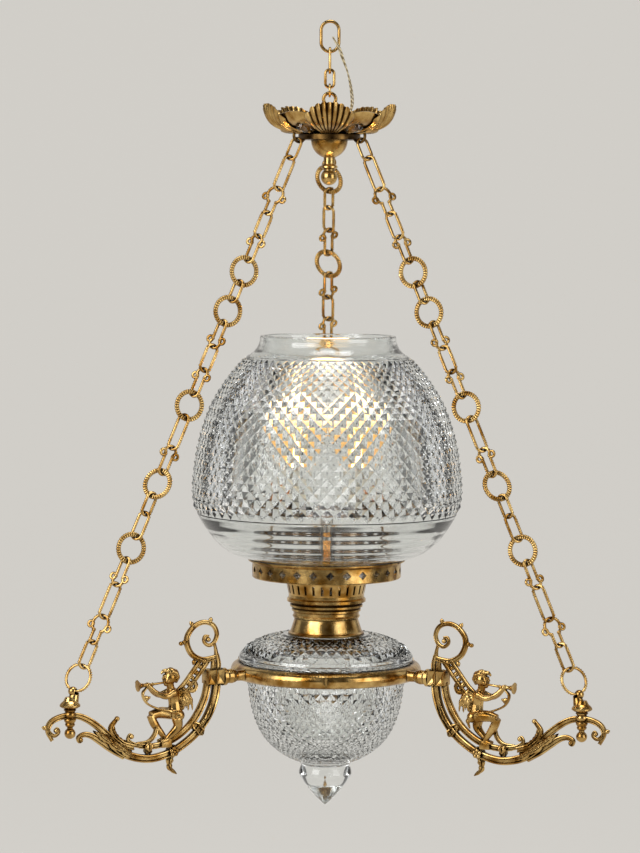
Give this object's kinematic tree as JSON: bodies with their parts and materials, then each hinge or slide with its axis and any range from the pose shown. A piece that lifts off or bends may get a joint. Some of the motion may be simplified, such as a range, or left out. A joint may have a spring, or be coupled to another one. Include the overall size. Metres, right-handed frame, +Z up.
{
  "type": "pendant oil lamp",
  "caption": "Hanging brass lamp with cut-glass shade and font, held by ornate chains on cast scroll arms with figures under a petalled canopy.",
  "frame": {"origin": "inner top of the top link, where the ceiling hook bears", "axes": "+Z up through the axis of the hanging lamp, -Y towards the front, with one arm straight to the rear at +Y, +X to the right as seen from the front"},
  "size_m": [0.5476, 0.4755, 0.7885],
  "materials": {
    "polished_brass": "cast and turned brass, polished on the high places and aged dark in the hollows",
    "dark_brass": "aged brass, not polished",
    "cut_crystal": "clear lead crystal, moulded or cut with small pyramids",
    "bulb_glass": "thin clear glass",
    "nickel": "nickel plate",
    "filament": "glass stem and coiled wire",
    "porcelain": "glazed white porcelain",
    "black_plastic": "moulded insulating bush",
    "flex_sheath": "clear plastic sheath over tinned and copper wire"
  },
  "bodies": {
    "ceiling_link": {"top_link": "polished_brass"},
    "swing_link": {"second_link": "polished_brass"},
    "canopy_stack": {"third_link": "polished_brass", "canopy_ring": "polished_brass", "canopy_eye": "polished_brass", "canopy": "polished_brass", "chain_plate": "dark_brass", "cup_boss": "polished_brass", "stem_rod": "dark_brass", "finial_ball": "polished_brass", "flex_bush": "black_plastic", "flex_left": "flex_sheath", "flex_right": "flex_sheath"},
    "carrier": {"font_ring": "polished_brass", "ring_screws": "polished_brass", "socket_left": "polished_brass", "arm_left": "polished_brass", "figure_left": "polished_brass", "post_left": "polished_brass", "post_ball_left": "polished_brass", "socket_right": "polished_brass", "arm_right": "polished_brass", "figure_right": "polished_brass", "post_right": "polished_brass", "post_ball_right": "polished_brass", "socket_rear": "polished_brass", "arm_rear": "polished_brass", "figure_rear": "polished_brass", "post_rear": "polished_brass", "post_ball_rear": "polished_brass"},
    "font_glass": {"font": "cut_crystal", "font_drop": "cut_crystal", "font_collar": "polished_brass"},
    "burner": {"burner_body": "polished_brass", "air_basket": "polished_brass", "gallery": "polished_brass", "riser_tube": "nickel", "lamp_holder": "porcelain"},
    "bulb": {"bulb_cap": "nickel", "bulb_glass": "bulb_glass", "bulb_filament": "filament"},
    "shade_glass": {"shade": "cut_crystal"},
    "chain_left": {"hook_link_left": "polished_brass", "long_links_left": "polished_brass", "plain_links_left": "polished_brass", "scroll_links_left": "polished_brass", "rope_rings_left": "polished_brass", "end_ring_left": "polished_brass"},
    "chain_right": {"hook_link_right": "polished_brass", "long_links_right": "polished_brass", "plain_links_right": "polished_brass", "scroll_links_right": "polished_brass", "rope_rings_right": "polished_brass", "end_ring_right": "polished_brass"},
    "chain_rear": {"hook_link_rear": "polished_brass", "long_links_rear": "polished_brass", "plain_links_rear": "polished_brass", "scroll_links_rear": "polished_brass", "rope_rings_rear": "polished_brass", "end_ring_rear": "polished_brass"}
  },
  "joints": [
    {"name": "link_swing", "type": "hinge", "parent": "ceiling_link", "child": "swing_link", "pos_m": [0, 0, -0.0284], "axis": [1, 0, 0], "range_deg": [-8, 8]},
    {"name": "lamp_swing", "type": "hinge", "parent": "swing_link", "child": "canopy_stack", "pos_m": [0, 0, -0.0493], "axis": [0, 1, 0], "range_deg": [-8, 8]},
    {"name": "chains_turn", "type": "hinge", "parent": "canopy_stack", "child": "carrier", "pos_m": [0, 0, -0.647], "axis": [0, 0, 1], "range_deg": [-10, 10], "stiffness_Nm_per_rad": 1.6},
    {"name": "chain_turn_left", "type": "hinge", "parent": "canopy_stack", "child": "chain_left", "pos_m": [-0.03204, -0.0185, -0.118], "axis": [0, 0, 1], "range_deg": [-11.7, 11.7]},
    {"name": "chain_turn_right", "type": "hinge", "parent": "canopy_stack", "child": "chain_right", "pos_m": [0.03204, -0.0185, -0.118], "axis": [0, 0, 1], "range_deg": [-11.7, 11.7]},
    {"name": "chain_turn_rear", "type": "hinge", "parent": "canopy_stack", "child": "chain_rear", "pos_m": [0, 0.037, -0.118], "axis": [0, 0, 1], "range_deg": [-11.7, 11.7]},
    {"name": "font_lift", "type": "slide", "parent": "carrier", "child": "font_glass", "axis": [0, 0, 1], "range_m": [0, 0.02]},
    {"name": "burner_unscrew", "type": "hinge", "parent": "font_glass", "child": "burner", "pos_m": [0, 0, -0.59], "axis": [0, 0, 1], "range_deg": [0, 720]},
    {"name": "bulb_unscrew", "type": "hinge", "parent": "burner", "child": "bulb", "pos_m": [0, 0, -0.44], "axis": [0, 0, 1], "range_deg": [0, 1080]},
    {"name": "shade_lift", "type": "slide", "parent": "burner", "child": "shade_glass", "axis": [0, 0, 1], "range_m": [0, 0.035]}
  ],
  "couplings": [
    {"joint": "chain_turn_left", "follows": "chains_turn", "ratio": 1.151},
    {"joint": "chain_turn_right", "follows": "chains_turn", "ratio": 1.151},
    {"joint": "chain_turn_rear", "follows": "chains_turn", "ratio": 1.151}
  ]
}
